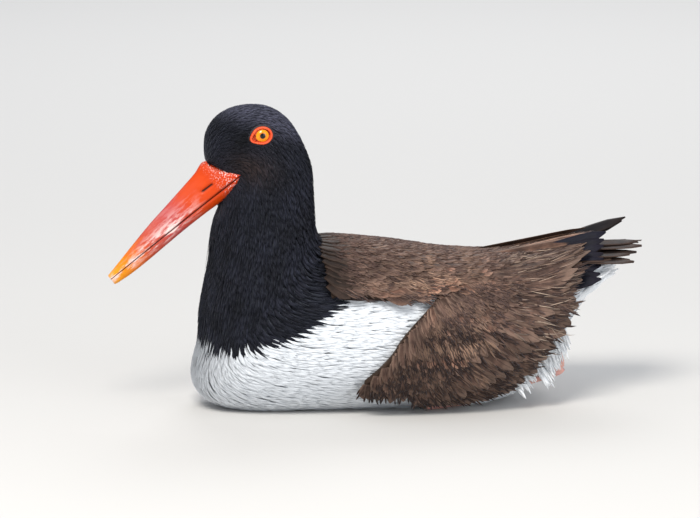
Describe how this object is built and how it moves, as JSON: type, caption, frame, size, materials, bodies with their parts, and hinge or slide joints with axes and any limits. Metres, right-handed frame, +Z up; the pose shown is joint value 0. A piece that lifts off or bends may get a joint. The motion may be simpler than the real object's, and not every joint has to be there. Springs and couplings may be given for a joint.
{
  "type": "oystercatcher",
  "caption": "Life-size still model of an American oystercatcher sitting on its belly with folded wings, for natural history displays and scenes.",
  "frame": {"origin": "on the floor under the middle of the belly, on the flat the bird rests on", "axes": "+X towards the bill, +Y to the bird's left side, +Z up"},
  "size_m": [0.3114, 0.1289, 0.1761],
  "materials": {
    "white_plumage": "soft matte feathers",
    "black_plumage": "fine matte feathers with a faint blue sheen",
    "brown_plumage": "vaned feathers with paler edges",
    "tail_plumage": "stiff vaned feathers",
    "bill": "satin horn",
    "iris": "wet glossy",
    "eyelid": "bare fleshy skin",
    "leg": "scaly skin"
  },
  "bodies": {
    "root": {"torso": "white_plumage", "neck": "black_plumage", "head": "black_plumage", "bill_upper": "bill", "bill_lower": "bill", "tail": "tail_plumage", "wing_left": "brown_plumage", "wing_right": "brown_plumage", "leg_left": "leg", "leg_right": "leg", "eye_left": "iris", "eye_right": "iris", "eyelid_left": "eyelid", "eyelid_right": "eyelid"}
  },
  "joints": []
}
